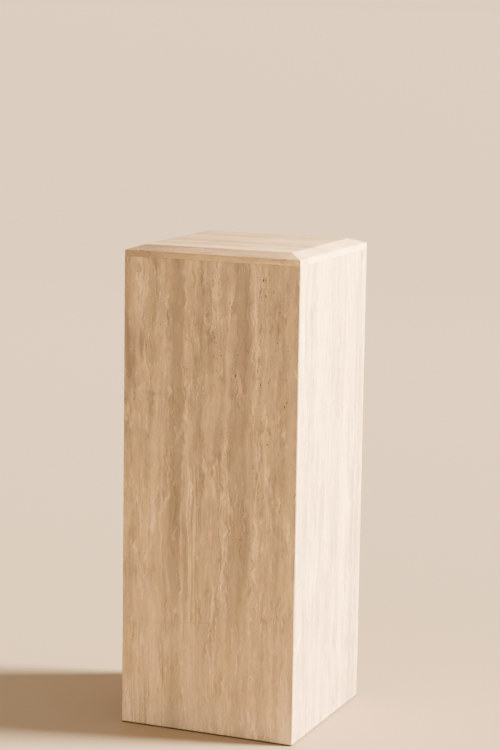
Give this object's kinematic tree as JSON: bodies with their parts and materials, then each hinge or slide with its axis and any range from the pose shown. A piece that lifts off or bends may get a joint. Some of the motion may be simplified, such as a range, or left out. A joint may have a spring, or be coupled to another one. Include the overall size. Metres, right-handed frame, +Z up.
{
  "type": "square stone display pedestal",
  "caption": "Tall square display pedestal in honed travertine: a hollow box of mitred upright slabs under a flat top slab with a wide, shallow bevel all round.",
  "frame": {"origin": "centre of the square footprint, on the floor", "axes": "+Z up, towards the flat of the top; the front panel faces -Y and the right panel faces +X"},
  "size_m": [0.3, 0.3, 0.784],
  "materials": {
    "travertine_top": "satin",
    "travertine_side": "satin"
  },
  "bodies": {
    "root": {"top_slab": "travertine_top", "front_panel": "travertine_side", "right_panel": "travertine_side", "back_panel": "travertine_side", "left_panel": "travertine_side"}
  },
  "joints": []
}
